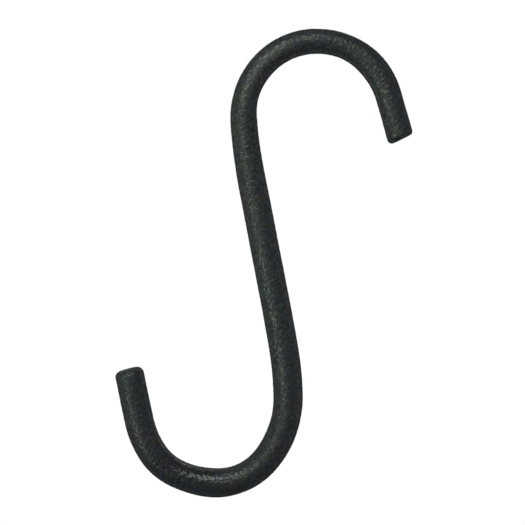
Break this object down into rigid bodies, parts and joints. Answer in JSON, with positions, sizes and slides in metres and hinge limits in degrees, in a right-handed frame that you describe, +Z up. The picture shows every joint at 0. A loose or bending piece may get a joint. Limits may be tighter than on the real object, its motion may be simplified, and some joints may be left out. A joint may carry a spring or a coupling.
{
  "type": "s hook",
  "caption": "S-shaped hook bent from round steel bar with a textured black coat: the upper bend hangs over a rail, the lower bend carries the load.",
  "frame": {"origin": "on the inside surface of the upper bend, at the seat where it bears on a rail", "axes": "the hook hangs in the XZ plane as in use: +Z up along the load line through both seats, +X towards the upper tip, Y across the bar's thickness, along the rail"},
  "size_m": [0.0479, 0.007, 0.1192],
  "materials": {
    "black_coat": "matt black coat with a fine sandy texture"
  },
  "bodies": {
    "root": {"hook": "black_coat"}
  },
  "joints": []
}
